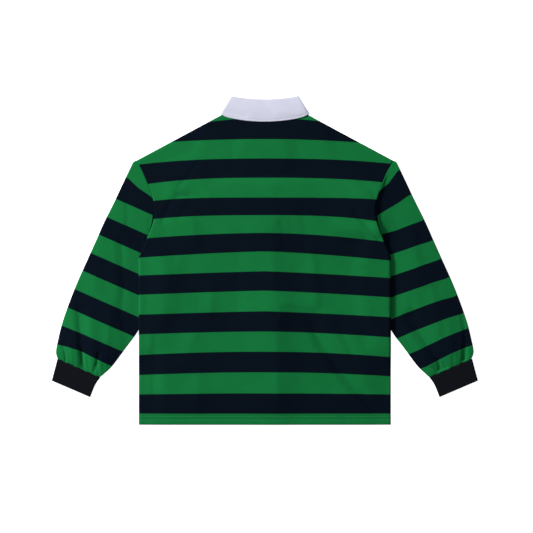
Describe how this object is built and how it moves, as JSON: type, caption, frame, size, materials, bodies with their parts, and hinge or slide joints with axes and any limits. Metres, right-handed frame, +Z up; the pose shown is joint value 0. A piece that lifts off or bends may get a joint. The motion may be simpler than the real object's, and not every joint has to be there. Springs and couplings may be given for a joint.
{
  "type": "long sleeved polo shirt laid flat",
  "caption": "Striped long sleeved polo shirt with a woven collar, a buttoned placket and rib cuffs, laid flat on its front with the sleeves folded down beside it.",
  "frame": {"origin": "centre of the shirt's footprint, on the surface that it lies on", "axes": "+X across the chest to the wearer's right sleeve, +Y from the hem to the collar, +Z up from the surface, out of the back"},
  "size_m": [1.0134, 0.7804, 0.0086],
  "materials": {
    "striped_jersey": "heavy cotton jersey with broad green and navy stripes, matte",
    "collar_twill": "white cotton twill, matte",
    "cuff_rib": "charcoal rib knit, matte",
    "placket_jersey": "navy cotton jersey, matte",
    "button": "white resin, slight gloss"
  },
  "bodies": {
    "root": {"back_panel": "striped_jersey", "front_panel": "striped_jersey", "sleeve_left": "striped_jersey", "sleeve_right": "striped_jersey", "cuff_left": "cuff_rib", "cuff_right": "cuff_rib", "collar_stand": "collar_twill", "collar_fall": "collar_twill", "placket_upper": "placket_jersey", "placket_under": "placket_jersey", "button_1": "button", "button_2": "button", "button_3": "button"}
  },
  "joints": []
}
